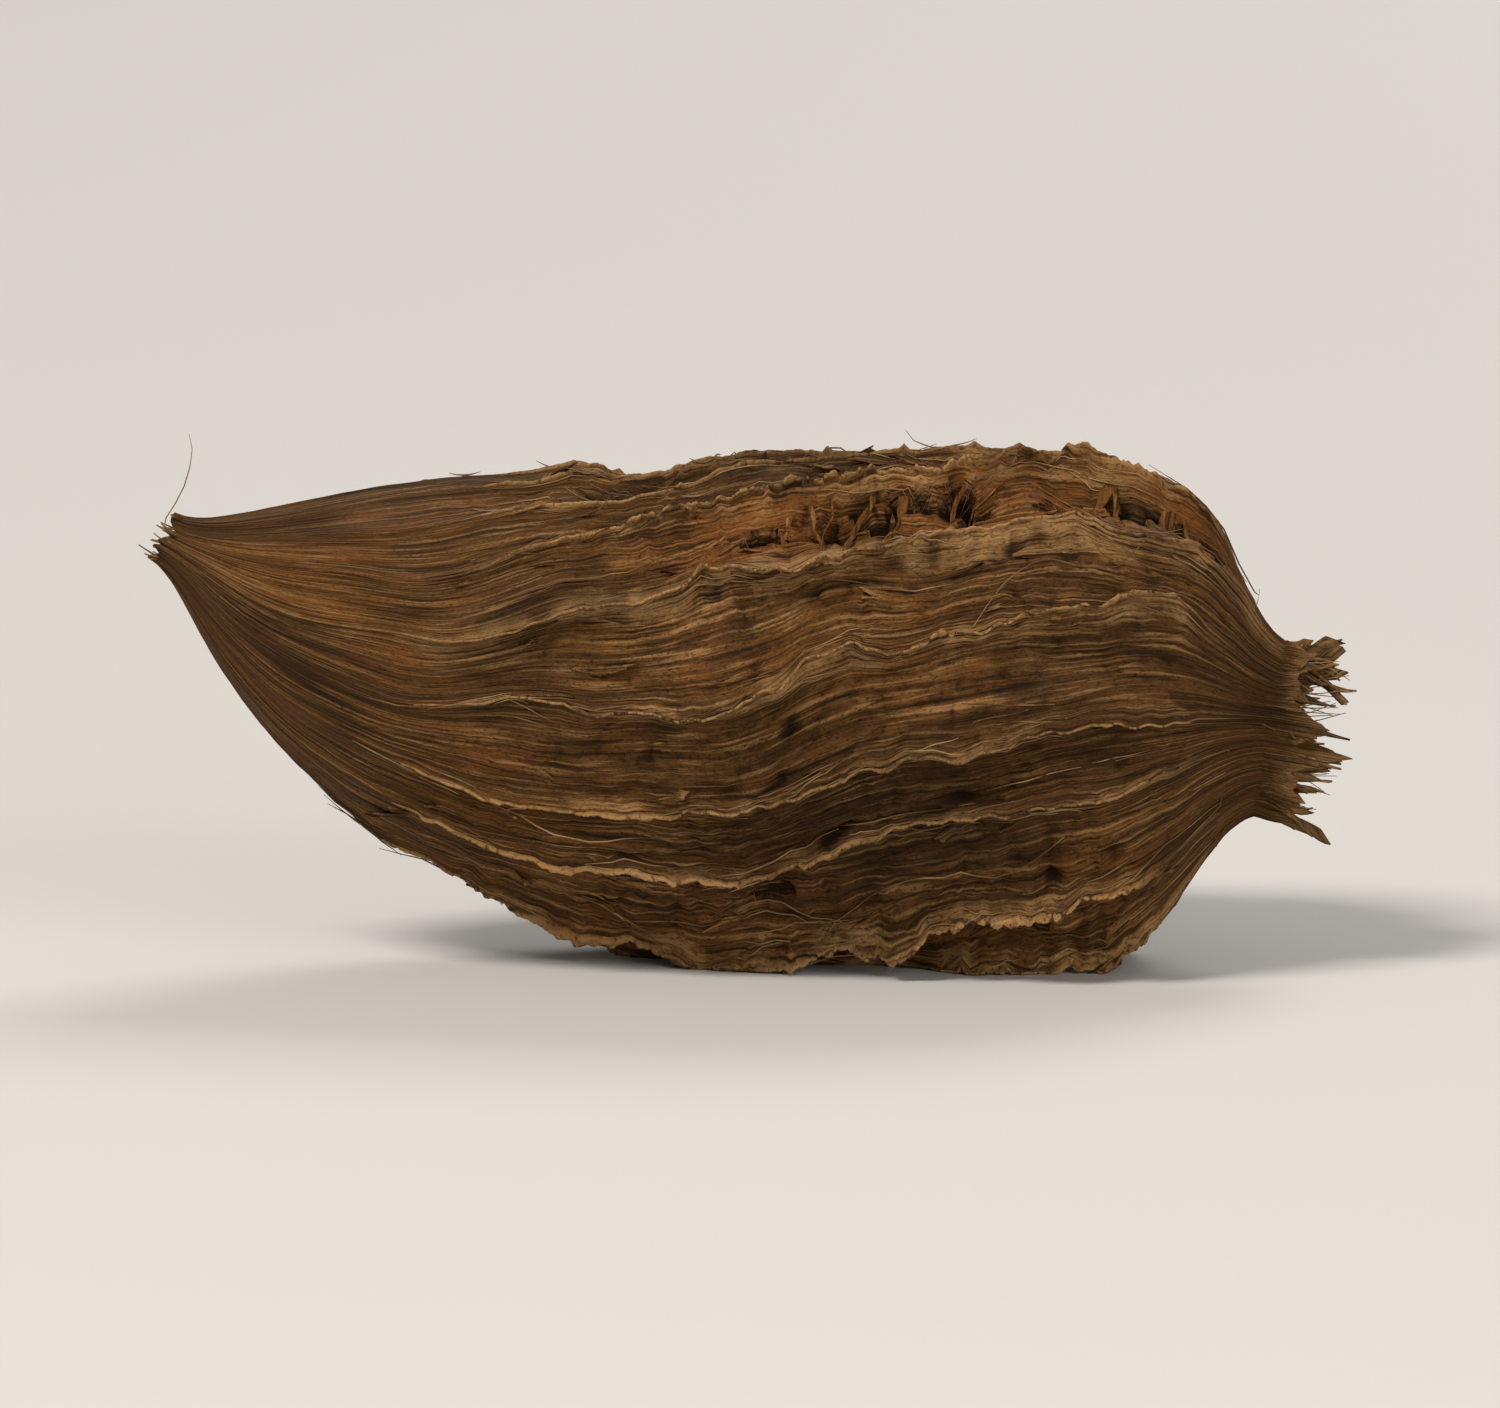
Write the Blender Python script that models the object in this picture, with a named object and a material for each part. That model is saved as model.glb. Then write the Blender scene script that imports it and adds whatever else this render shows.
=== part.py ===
"""Black cardamom pod, dried: one whole fruit lying on its side.

The husk is a blunt, faintly three-cornered capsule. It tapers to the stalk scar at -X and ends broad at +X,
where the torn crown of the dried flower tube stands. Crinkled wings run along it, low near the stalk and tall
near the crown. Lengths are in metres, +Z is up, and the pod rests on a small pressed flat at z = 0.
"""

import math
import random

import bmesh
import bpy
from mathutils import Matrix, Vector

MM = 0.001

# Driving sizes: the husk without its crown, the radius at the bottom of the grooves, and how deep the pod is
# pressed flat where it lies
HUSK_LENGTH = 28.5 * MM
GIRTH_RADIUS = 6.5 * MM
SECTION_SQUASH = 0.93
REST_CUT = 0.42 * MM
SEED = 5

# Spine: the stalk end curves up off the table, the crown droops, and the whole bows a little sideways
STALK_LIFT = 4.2 * MM
STALK_LIFT_REACH = 0.52
CROWN_DROOP = 0.7 * MM
CROWN_DROOP_FROM = 0.72
SIDE_BOW = 0.7 * MM

# Outline in the grooves: share of the husk's length, share of GIRTH_RADIUS
OUTLINE = (
    (0.00, 0.09), (0.03, 0.18), (0.07, 0.34), (0.13, 0.53), (0.22, 0.73), (0.34, 0.88), (0.48, 0.965),
    (0.62, 1.00), (0.76, 1.00), (0.85, 0.98), (0.91, 0.86), (0.945, 0.67), (0.97, 0.46), (1.00, 0.33),
)

# Three blunt corners, one of them turned to the front and upwards, with a slow twist along the pod
CORNER_SWELL = 0.055
FRONT_CORNER = math.radians(151)
TWIST = math.radians(-67)

# Wings: wing 0 stands on the front corner, and the others follow it down the front, underneath, up the back
# and over the top. A wing strays from its even place by a share of the gap, sways along its length, and
# starts a little early or late.
WINGS = 15
WING_STRAY = 0.16
WING_SWAY = (math.radians(2.9), math.radians(4.9))
WING_START = (-0.02, 0.03)
WING_HEIGHT = 1.08 * MM
WING_SPREAD = (0.55, 1.0)
CORNER_WING = 1.18
FRONT_WING = 1.45
WING_HALF_WIDTH = 0.14
WING_FALL_OFF = 2.2
WING_LEAN = 0.62
WING_RISE = (
    (0.00, 0.05), (0.06, 0.08), (0.16, 0.22), (0.30, 0.50), (0.44, 0.82), (0.58, 1.00), (0.86, 1.05),
    (0.92, 0.80), (0.96, 0.30), (1.00, 0.12),
)
TEETH_DEPTH = 0.46

# The two wings on top have kept their edges nearly whole, as (height, depth of their teeth) in shares
TOP_WINGS = (12, 13)
TOP_WHOLE = (0.87, 0.45)

# The front wing climbs towards the top before its middle and draws its neighbours after it by half as much,
# as (share of the length, angle). Past its middle it has broken down to a share of its height.
FRONT_CLIMB = (
    (0.22, 0.0), (0.33, math.radians(9)), (0.39, math.radians(8)), (0.46, math.radians(3.5)),
    (0.54, math.radians(5)), (0.60, math.radians(6)), (0.69, math.radians(-1)), (0.90, math.radians(-3)),
    (1.00, 0.0),
)
FRONT_STAND = ((0.60, 1.0), (0.70, 0.62), (0.92, 0.62), (0.97, 1.0))

# Hollows where the husk has sunk between its wings: share of the length, place in wings, depth, half size
HOLLOW_EDGE = 0.2
HOLLOWS = (
    (0.61, -0.60, 1.1 * MM, 1.4 * MM), (0.725, -0.70, 0.9 * MM, 0.9 * MM), (0.82, -0.64, 1.0 * MM, 1.0 * MM),
    (0.905, -0.62, 0.8 * MM, 0.8 * MM), (0.80, -1.5, 0.6 * MM, 1.2 * MM),
    (0.36, 1.5, 0.6 * MM, 3.0 * MM), (0.54, 3.5, 0.8 * MM, 1.5 * MM), (0.78, 4.5, 0.9 * MM, 1.3 * MM),
    (0.66, 11.5, 0.9 * MM, 1.5 * MM), (0.72, 8.5, 0.8 * MM, 1.4 * MM), (0.45, 9.5, 0.7 * MM, 2.6 * MM),
    (0.40, -2.5, 0.5 * MM, 2.8 * MM),
)

# Crown: what is left of the flower tube, torn to points, with a shallow cup inside
CROWN_LENGTH = 2.6 * MM
CROWN_SPREAD = (0.18, 1.0)
CROWN_TEAR = 0.40
CROWN_CURL = (-0.15, 0.42)
CROWN_STEPS = (0.5, 1.0, 0.8)
CROWN_WALL = 0.6 * MM
CROWN_CUP_DEPTH = 0.8 * MM
CROWN_CUP_WIDTH = 0.55

# Stalk scar: a ragged rim round a shallow pit
SCAR_RAGGED = 0.3 * MM
SCAR_PIT = 0.4 * MM

# Mesh: the columns follow the wings, and the rings of the husk crowd towards both ends
COLUMN_OFFSETS = (-0.5, -0.28, -0.10, 0.0, 0.10, 0.28)
COLUMNS = WINGS * len(COLUMN_OFFSETS)
HUSK_RINGS = 50
CROWN_RINGS = 4
RINGS = HUSK_RINGS + CROWN_RINGS + 1
END_CROWDING = 0.15

HUSK_BROWN = (0.105, 0.050, 0.020, 1.0)
HUSK_ROUGHNESS = 0.82


def between(table, share):
    """Value at a share of the length, on the straight lines between a table's (share, value) rows."""
    for (s0, v0), (s1, v1) in zip(table, table[1:]):
        if share <= s1:
            return v0 + (v1 - v0) * max(0.0, share - s0) / (s1 - s0)
    return table[-1][1]


def smooth(table, share, reach=0.022):
    """The same with the table's corners rounded off, as the mean over a short reach."""
    steps = (-1.0, -0.5, 0.0, 0.5, 1.0)
    return sum(between(table, share + step * reach) for step in steps) / len(steps)


def draw_waves(draws, counts):
    """Seeded sine waves along the pod, as (waves in its length, phase, weight)."""
    waves = []
    for count in counts:
        waves.append((count * draws.uniform(0.8, 1.25), draws.random(), draws.uniform(0.6, 1.0)))
    return waves


def wavy(waves, share):
    """Sum of the waves at a share of the length, between -1 and 1."""
    total = sum(weight for _, _, weight in waves)
    height = sum(weight * math.sin(math.tau * (count * share + phase)) for count, phase, weight in waves)
    return height / total


def draw_wings(draws):
    """One record for each wing: where it stands round the pod, its height, and how it wanders and is torn."""
    wings = []
    for number in range(WINGS):
        height = draws.uniform(*WING_SPREAD)
        stray = draws.uniform(-WING_STRAY, WING_STRAY)
        if number % (WINGS // 3) == 0:
            height = CORNER_WING
        if number == 0:
            height, stray = FRONT_WING, 0.0
        whole, torn = TOP_WHOLE if number in TOP_WINGS else (1.0, 1.0)
        wings.append({
            "angle": FRONT_CORNER + math.tau * (number + stray) / WINGS,
            "height": height * WING_HEIGHT * whole,
            "torn": TEETH_DEPTH * torn,
            "climb": max(0.0, 1.0 - min(number, WINGS - number) / 2),
            "sway": draw_waves(draws, (1.3, 2.9, 5.2)),
            "sway_angle": draws.uniform(*WING_SWAY),
            "teeth": draw_waves(draws, (5.0, 7.5, 10.5)),
            "lean": draw_waves(draws, (1.1, 3.3)),
            "start": draws.uniform(*WING_START),
            "crown": draws.uniform(*CROWN_SPREAD),
            "curl": draws.uniform(*CROWN_CURL),
            "scar": draws.uniform(-1.0, 1.0),
        })
    return wings


def wing_angle(wing, share):
    sway = wing["sway_angle"] * wavy(wing["sway"], share)
    return wing["angle"] + TWIST * (share - 0.5) + sway - wing["climb"] * smooth(FRONT_CLIMB, share)


def wing_height(wing, share):
    rise = smooth(WING_RISE, share - wing["start"])
    notch = 1.0 - wing["torn"] * (0.5 + 0.5 * wavy(wing["teeth"], share))
    stand = smooth(FRONT_STAND, share) if wing["climb"] == 1.0 else 1.0
    return wing["height"] * rise * notch * stand


def wing_profile(offset):
    """Share of a wing's height that is left at an offset from its crest, in gaps to the next wing."""
    return 1.0 / (1.0 + (abs(offset) / WING_HALF_WIDTH) ** WING_FALL_OFF)


def neighbour_of(wings, number, offset):
    return wings[(number + (1 if offset > 0 else -1)) % WINGS]


def spine_point(share):
    lift = STALK_LIFT * max(0.0, 1.0 - share / STALK_LIFT_REACH) ** 2
    droop = CROWN_DROOP * (max(0.0, share - CROWN_DROOP_FROM) / (1.0 - CROWN_DROOP_FROM)) ** 2
    return Vector((share * HUSK_LENGTH, SIDE_BOW * math.sin(math.pi * share), lift - droop))


def spine_frame(share, step=0.005):
    """Centre of a section, the spine's direction there, and the section's sideways and upward directions."""
    ahead = (spine_point(share + step) - spine_point(share - step)).normalized()
    side = (Vector((0, 1, 0)) - ahead * ahead.y).normalized()
    return spine_point(share), ahead, side, ahead.cross(side)


def hollow_depth(share, around):
    """How far the husk has sunk at a place: around counts wings, so 0.5 is midway from wing 0 to wing 1.

    At its half size from its middle, a hollow has HOLLOW_EDGE of its full depth left.
    """
    depth = 0.0
    for at_share, at_wing, deepest, half_size in HOLLOWS:
        turns = (around - at_wing + WINGS / 2) % WINGS - WINGS / 2
        across = turns * math.tau * GIRTH_RADIUS / WINGS
        along = (share - at_share) * HUSK_LENGTH
        depth += deepest * HOLLOW_EDGE ** ((across ** 2 + along ** 2) / half_size ** 2)
    return depth


def husk_point(wings, share, number, offset):
    """Point of the husk at a share of its length, beside a wing by an offset in gaps to the next wing."""
    wing = wings[number]
    neighbour = neighbour_of(wings, number, offset)
    wing_at = wing_angle(wing, share)
    gap = abs((wing_angle(neighbour, share) - wing_at + math.pi) % math.tau - math.pi)
    radius = GIRTH_RADIUS * smooth(OUTLINE, share)
    height = wing_height(wing, share) * wing_profile(offset)
    height += wing_height(neighbour, share) * wing_profile(1.0 - abs(offset)) * (offset != 0)
    lean = WING_LEAN * wavy(wing["lean"], share) * wing_profile(offset) * height
    angle = wing_at + offset * gap + lean / GIRTH_RADIUS
    corner = 1.0 + CORNER_SWELL * math.cos(3 * (angle - FRONT_CORNER - TWIST * (share - 0.5)))
    reach = radius * corner + height - hollow_depth(share, number + offset) * radius / GIRTH_RADIUS
    centre, _, side, up = spine_frame(share)
    return centre + side * (reach * math.cos(angle)) + up * (reach * math.sin(angle) * SECTION_SQUASH)


def drawn_value(wings, key, number, offset):
    """A wing's drawn value, running over into its neighbour's."""
    neighbour = neighbour_of(wings, number, offset)
    return wings[number][key] + (neighbour[key] - wings[number][key]) * abs(offset)


def scar_point(wings, number, offset):
    """Point of the stalk scar's ragged rim."""
    _, ahead, _, _ = spine_frame(0.0)
    ragged = SCAR_RAGGED * drawn_value(wings, "scar", number, offset)
    return husk_point(wings, 0.0, number, offset) - ahead * ragged


def crown_point(wings, step, number, offset):
    """Point of the crown.

    Step 1 is halfway up the outside, 2 and 3 are the outer and inner edges of its torn points at CROWN_STEPS
    of their length, and 4 is the floor of the cup.
    """
    centre, ahead, _, _ = spine_frame(1.0)
    base = husk_point(wings, 1.0, number, offset)
    outwards = (base - centre).normalized()
    if step == CROWN_RINGS:
        return centre + (base - centre) * CROWN_CUP_WIDTH - ahead * CROWN_CUP_DEPTH
    rise = CROWN_STEPS[step - 1]
    point = CROWN_LENGTH * drawn_value(wings, "crown", number, offset)
    reach = point * (1.0 - CROWN_TEAR * 2 * abs(offset)) * rise
    curl = drawn_value(wings, "curl", number, offset) * reach * rise
    wall = CROWN_WALL if step == 3 else 0.0
    return base + ahead * reach + outwards * (curl - wall)


def ring_share(ring):
    """Share of the husk's length at a ring, from 0 at the stalk scar's rim to 1 at the crown's foot."""
    even = (ring - 1) / (HUSK_RINGS - 1)
    return even - END_CROWDING * math.sin(math.tau * even) / math.tau


def add_pod(material, draws):
    """A sphere with a pole in the stalk scar and one in the crown's cup, moved to the pod's surface."""
    wings = draw_wings(draws)
    shape = bmesh.new()
    bmesh.ops.create_uvsphere(shape, u_segments=COLUMNS, v_segments=RINGS, radius=1.0)
    for vertex in shape.verts:
        ring = round(math.acos(max(-1.0, min(1.0, vertex.co.z))) / math.pi * RINGS)
        column = round(math.atan2(vertex.co.y, vertex.co.x) / math.tau * COLUMNS) % COLUMNS
        number, place = divmod(column, len(COLUMN_OFFSETS))
        offset = COLUMN_OFFSETS[place]
        if ring == 0:
            centre, ahead, _, _ = spine_frame(0.0)
            vertex.co = centre + ahead * SCAR_PIT
        elif ring == 1:
            vertex.co = scar_point(wings, number, offset)
        elif ring <= HUSK_RINGS:
            vertex.co = husk_point(wings, ring_share(ring), number, offset)
        elif ring < RINGS:
            vertex.co = crown_point(wings, ring - HUSK_RINGS, number, offset)
        else:
            centre, ahead, _, _ = spine_frame(1.0)
            vertex.co = centre - ahead * CROWN_CUP_DEPTH
    bmesh.ops.recalc_face_normals(shape, faces=shape.faces)
    mesh = bpy.data.meshes.new("pod")
    shape.to_mesh(mesh)
    shape.free()
    mesh.materials.append(material)
    return bpy.data.objects.new("pod", mesh)


def settle(pod):
    """Centres the pod over the origin, with its lowest point REST_CUT below z = 0."""
    points = [vertex.co for vertex in pod.data.vertices]
    low = Vector([min(point[axis] for point in points) for axis in range(3)])
    high = Vector([max(point[axis] for point in points) for axis in range(3)])
    middle = (low + high) / 2
    pod.data.transform(Matrix.Translation((-middle.x, -middle.y, -low.z - REST_CUT)))


def press_flat(pod, cutters):
    """Cuts away what stands below z = 0, which leaves the small flat that the pod rests on."""
    side = HUSK_LENGTH * 2
    bpy.ops.mesh.primitive_cube_add(size=side, location=(0, 0, -side / 2))
    table = bpy.context.object
    table.name = "table_cutter"
    table.hide_render = True
    table.display_type = "WIRE"
    for holder in list(table.users_collection):
        holder.objects.unlink(table)
    cutters.objects.link(table)
    cut = pod.modifiers.new("Rest flat", "BOOLEAN")
    cut.operation = "DIFFERENCE"
    cut.object = table
    cut.solver = "EXACT"


def husk_material():
    material = bpy.data.materials.new("Dried husk")
    material.use_nodes = True
    shader = material.node_tree.nodes["Principled BSDF"]
    shader.inputs["Base Color"].default_value = HUSK_BROWN
    shader.inputs["Roughness"].default_value = HUSK_ROUGHNESS
    shader.inputs["Metallic"].default_value = 0.0
    material.diffuse_color = HUSK_BROWN
    return material


def new_collection(name):
    collection = bpy.data.collections.new(name)
    bpy.context.scene.collection.children.link(collection)
    return collection


def main():
    for thing in list(bpy.data.objects):
        bpy.data.objects.remove(thing)
    fruit = new_collection("Black cardamom pod")
    cutters = new_collection("Cutters")
    pod = add_pod(husk_material(), random.Random(SEED))
    fruit.objects.link(pod)
    settle(pod)
    press_flat(pod, cutters)
    pod.data.shade_smooth()
    pod.data.set_sharp_from_angle(angle=math.radians(60))


main()
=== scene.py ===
"""Looks of the black cardamom pod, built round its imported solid."""

import math
import random

import bpy
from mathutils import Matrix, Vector, noise


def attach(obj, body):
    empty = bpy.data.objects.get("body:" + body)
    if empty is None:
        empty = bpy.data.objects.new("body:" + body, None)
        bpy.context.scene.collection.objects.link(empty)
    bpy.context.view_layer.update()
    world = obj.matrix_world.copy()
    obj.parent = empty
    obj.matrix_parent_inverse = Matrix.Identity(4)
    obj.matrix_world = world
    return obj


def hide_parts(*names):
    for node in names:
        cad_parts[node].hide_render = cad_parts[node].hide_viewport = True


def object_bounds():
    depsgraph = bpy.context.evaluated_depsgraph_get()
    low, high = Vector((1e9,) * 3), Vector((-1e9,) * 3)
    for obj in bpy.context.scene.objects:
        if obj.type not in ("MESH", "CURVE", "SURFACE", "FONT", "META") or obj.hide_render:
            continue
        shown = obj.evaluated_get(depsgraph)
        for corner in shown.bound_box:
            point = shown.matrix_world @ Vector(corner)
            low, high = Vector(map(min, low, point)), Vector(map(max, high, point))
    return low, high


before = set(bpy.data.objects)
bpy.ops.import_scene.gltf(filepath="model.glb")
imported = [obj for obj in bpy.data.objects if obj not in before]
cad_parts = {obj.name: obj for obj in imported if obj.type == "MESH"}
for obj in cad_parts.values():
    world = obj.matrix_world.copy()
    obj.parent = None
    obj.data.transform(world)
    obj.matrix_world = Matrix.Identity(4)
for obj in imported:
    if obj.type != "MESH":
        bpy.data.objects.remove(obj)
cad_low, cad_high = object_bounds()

# The husk
# One leathery skin that grew round the seeds and dried hard into crinkled wings, matte and dark brown and
# paler where it is worn. It runs from the stalk scar to the flower crown, in one mesh for the CAD pod.

MM = 0.001
HUSK_LENGTH = 28.5 * MM
GIRTH_RADIUS = 6.5 * MM
SECTION_SQUASH = 0.93
SEED = 5
STALK_LIFT = 4.2 * MM
STALK_LIFT_REACH = 0.52
CROWN_DROOP = 0.7 * MM
CROWN_DROOP_FROM = 0.72
SIDE_BOW = 0.7 * MM
OUTLINE = (
    (0.00, 0.09), (0.03, 0.18), (0.07, 0.34), (0.13, 0.53), (0.22, 0.73), (0.34, 0.88), (0.48, 0.965),
    (0.62, 1.00), (0.76, 1.00), (0.85, 0.98), (0.91, 0.86), (0.945, 0.67), (0.97, 0.46), (1.00, 0.33),
)
ROUNDING = 0.022
CORNER_SWELL = 0.055
FRONT_CORNER = math.radians(151)
TWIST = math.radians(-67)
WINGS = 15
WINGS_PER_MM = WINGS / (math.tau * GIRTH_RADIUS / MM)
WING_STRAY = 0.16
WING_SWAY = (2.9, 4.9)
WING_START = (-0.02, 0.03)
WING_HEIGHT = 1.08 * MM
WING_SPREAD = (0.55, 1.0)
CORNER_WING = 1.18
FRONT_WING = 1.45
WING_HALF_WIDTH = 0.14
WING_FALL_OFF = 2.2
WING_LEAN = 0.62
WING_RISE = (
    (0.00, 0.05), (0.06, 0.08), (0.16, 0.22), (0.30, 0.50), (0.44, 0.82), (0.58, 1.00), (0.86, 1.05),
    (0.92, 0.80), (0.96, 0.30), (1.00, 0.12),
)
TEETH_DEPTH = 0.46
TOP_WINGS = (12, 13)
TOP_WHOLE = (0.87, 0.45)
FRONT_CLIMB = (
    (0.22, 0.0), (0.33, 9.0), (0.39, 8.0), (0.46, 3.5), (0.54, 5.0), (0.60, 6.0), (0.69, -1.0), (0.90, -3.0),
    (1.00, 0.0),
)
FRONT_STAND = ((0.60, 1.0), (0.70, 0.62), (0.92, 0.62), (0.97, 1.0))

# Where the skin has sunk, as (share of the length, place in wings, depth, radius where a fifth is left), the
# last two in millimetres
HOLLOW_EDGE = 0.2
HOLLOWS = (
    (0.61, -0.60, 1.1, 1.4), (0.725, -0.70, 0.9, 0.9), (0.82, -0.64, 1.0, 1.0), (0.905, -0.62, 0.8, 0.8),
    (0.80, -1.5, 0.6, 1.2), (0.36, 1.5, 0.6, 3.0), (0.54, 3.5, 0.8, 1.5), (0.78, 4.5, 0.9, 1.3),
    (0.66, 11.5, 0.9, 1.5), (0.72, 8.5, 0.8, 1.4), (0.45, 9.5, 0.7, 2.6), (0.40, -2.5, 0.5, 2.8),
)

SCAR_RAGGED = 0.3 * MM
SCAR_JAGGED = 0.5
SCAR_PIT = 0.4 * MM
CROWN_LENGTH = 2.6 * MM
CROWN_SPREAD = (0.18, 1.0)
CROWN_TEAR = 0.40
CROWN_NOTCHES = ((0.30, 3.7, 5.5, 2.0), (0.22, 9.1, 1.5, 3.0))
CROWN_CURL = (-0.15, 0.42)
CROWN_CRIMP = 0.09 * MM
CROWN_WALL = 0.26 * MM
CUP_DEPTH = 0.8 * MM
CUP_WIDTH = 0.75
CUP_DISH = 0.2
CUP_RIM = 0.96
NECK_RELIEF = 0.4


def between(table, share):
    """Value at a share of the length, on the straight lines between a table's (share, value) rows."""
    for (s0, v0), (s1, v1) in zip(table, table[1:]):
        if share <= s1:
            return v0 + (v1 - v0) * max(0.0, share - s0) / (s1 - s0)
    return table[-1][1]


def smooth(table, share):
    """The same with the table's corners rounded off, as the mean over a short reach."""
    steps = (-1.0, -0.5, 0.0, 0.5, 1.0)
    return sum(between(table, share + step * ROUNDING) for step in steps) / len(steps)


def draw_waves(draws, counts):
    """Seeded sine waves along the pod, as (waves in its length, phase, weight)."""
    return [(count * draws.uniform(0.8, 1.25), draws.random(), draws.uniform(0.6, 1.0)) for count in counts]


def wavy(waves, share):
    """Sum of the waves at a share of the length, between -1 and 1."""
    height = sum(weight * math.sin(math.tau * (count * share + phase)) for count, phase, weight in waves)
    return height / sum(weight for _, _, weight in waves)


def draw_wings(draws):
    """One record for each wing: where it stands round the pod, its height, and how it wanders and is torn."""
    wings = []
    for number in range(WINGS):
        height = draws.uniform(*WING_SPREAD)
        stray = draws.uniform(-WING_STRAY, WING_STRAY)
        if number % (WINGS // 3) == 0:
            height = CORNER_WING
        if number == 0:
            height, stray = FRONT_WING, 0.0
        whole, torn = TOP_WHOLE if number in TOP_WINGS else (1.0, 1.0)
        wings.append({
            "angle": FRONT_CORNER + math.tau * (number + stray) / WINGS,
            "height": height * WING_HEIGHT * whole,
            "torn": TEETH_DEPTH * torn,
            "climb": max(0.0, 1.0 - min(number, WINGS - number) / 2),
            "sway": draw_waves(draws, (1.3, 2.9, 5.2)),
            "sway_angle": math.radians(draws.uniform(*WING_SWAY)),
            "teeth": draw_waves(draws, (5.0, 7.5, 10.5)),
            "lean": draw_waves(draws, (1.1, 3.3)),
            "start": draws.uniform(*WING_START),
            "crown": draws.uniform(*CROWN_SPREAD),
            "curl": draws.uniform(*CROWN_CURL),
            "scar": draws.uniform(-1.0, 1.0),
        })
    return wings


def noise_at(x, y, z):
    return noise.noise(Vector((x, y, z)))


def drawn_value(key, around):
    """A wing's drawn value, running over into its neighbour's. around counts wings."""
    number = math.floor(around)
    part = around - number
    return wings[number % WINGS][key] * (1.0 - part) + wings[(number + 1) % WINGS][key] * part


def wing_profile(offset):
    """Share of a wing's height that is left at an offset from its crest, in gaps to the next wing."""
    return 1.0 / (1.0 + (abs(offset) / WING_HALF_WIDTH) ** WING_FALL_OFF)


def spine_point(share):
    lift = STALK_LIFT * max(0.0, 1.0 - share / STALK_LIFT_REACH) ** 2
    droop = CROWN_DROOP * (max(0.0, share - CROWN_DROOP_FROM) / (1.0 - CROWN_DROOP_FROM)) ** 2
    return Vector((share * HUSK_LENGTH, SIDE_BOW * math.sin(math.pi * share), lift - droop))


def wings_apart(around, at_wing):
    """How many wings one place round the pod is from another, the short way."""
    return (around - at_wing + WINGS / 2) % WINGS - WINGS / 2


def distances(share, around, at_share, at_wing):
    """How far a place is from another, in millimetres along the pod and round it."""
    return (share - at_share) * HUSK_LENGTH / MM, wings_apart(around, at_wing) / WINGS_PER_MM


def hollow_depth(share, around):
    """How far the husk has sunk at a place between its wings."""
    depth = 0.0
    for at_share, at_wing, deepest, half_size in HOLLOWS:
        along, across = distances(share, around, at_share, at_wing)
        depth += deepest * HOLLOW_EDGE ** ((across ** 2 + along ** 2) / half_size ** 2)
    return depth * MM


def section_at(share, step=0.005):
    """What the points of one cross-section share: its frame, its radius, and where its wings stand."""
    ahead = (spine_point(share + step) - spine_point(share - step)).normalized()
    side = (Vector((0, 1, 0)) - ahead * ahead.y).normalized()
    twist = TWIST * (share - 0.5)
    climb = math.radians(smooth(FRONT_CLIMB, share))
    angles, heights = [], []
    for wing in wings:
        sway = wing["sway_angle"] * wavy(wing["sway"], share)
        angles.append(wing["angle"] + twist + sway - wing["climb"] * climb)
        notch = 1.0 - wing["torn"] * (0.5 + 0.5 * wavy(wing["teeth"], share))
        heights.append(wing["height"] * smooth(WING_RISE, share - wing["start"]) * notch)
    heights[0] *= smooth(FRONT_STAND, share)
    return {
        "share": share,
        "centre": spine_point(share),
        "ahead": ahead,
        "side": side,
        "up": ahead.cross(side),
        "radius": GIRTH_RADIUS * smooth(OUTLINE, share),
        "twist": twist,
        "angles": angles,
        "heights": heights,
        "leans": [WING_LEAN * wavy(wing["lean"], share) for wing in wings],
    }


def grain_point(share, around, rise=0.0):
    """The same place on a straight tube, in millimetres, where the pod's twist and taper are taken out.

    rise takes it off the tube up a wing's side, so that the grain's lines run evenly up the steep too.
    """
    turn = math.tau * around / WINGS
    radius = GIRTH_RADIUS / MM + rise
    return Vector((share * HUSK_LENGTH / MM, radius * math.cos(turn), radius * math.sin(turn)))


def lumps(grain, along, across, layer):
    """Smooth noise between -1 and 1. Its lumps have these sizes in millimetres along and across the grain."""
    return noise_at(grain.x / along + 31.7 * layer, grain.y / across, grain.z / across)


def lumpy(grain, rows):
    """Several sizes of lumps together, from (weight, along, across, layer) rows."""
    return sum(weight * lumps(grain, along, across, layer) for weight, along, across, layer in rows)


def ragged(grain, number, size, layer):
    """Smooth noise along one wing, with steps of the given size in millimetres."""
    return noise_at(grain.x / size, number * 7.9, layer * 3.3)


def crinkled(grain, number, rows):
    """Several sizes of steps along one wing together, from (weight, size, layer) rows."""
    return sum(weight * ragged(grain, number, size, layer) for weight, size, layer in rows)


# Fine relief, in millimetres: striae and creases as (along, across, depth), lumps as (size, depth), veins as
# (place between two wings, width in wings, height)
STRIAE = ((9.0, 0.62, 0.055), (6.0, 0.30, 0.045))
LUMPS = ((2.4, 0.17), (1.0, 0.10), (0.45, 0.045))
LUMP_STRETCH = 1.3
CREASES = ((0.95, 1.9, 0.50), (0.50, 0.9, 0.24))
CREASE_WARP = ((0.75, 1.7, 1.3, 7),)
WARP_WAY = Vector((1.0, 0.4, 0.4))
FOLD_LIMIT, FOLD_LEVEL, FOLD_LINE = 0.3, 0.17, 0.07
NET_ALONG, NET_ACROSS, NET_WIDTH, NET_LIFT = 2.1, 0.75, 0.13, 0.17
VEINS = ((0.30, 0.045, 0.26), (0.51, 0.035, 0.19), (0.71, 0.045, 0.24))
VEIN_WANDER = ((0.10, 2.6, 1), (0.03, 0.8, 6))
VEIN_STRENGTH, VEIN_FADES = 0.55, ((0.9, 3.7, 8),)
PITS, PIT_FROM, PIT_DEPTH = ((1.0, 0.9, 0.7, 5),), 0.36, 0.60
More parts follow.
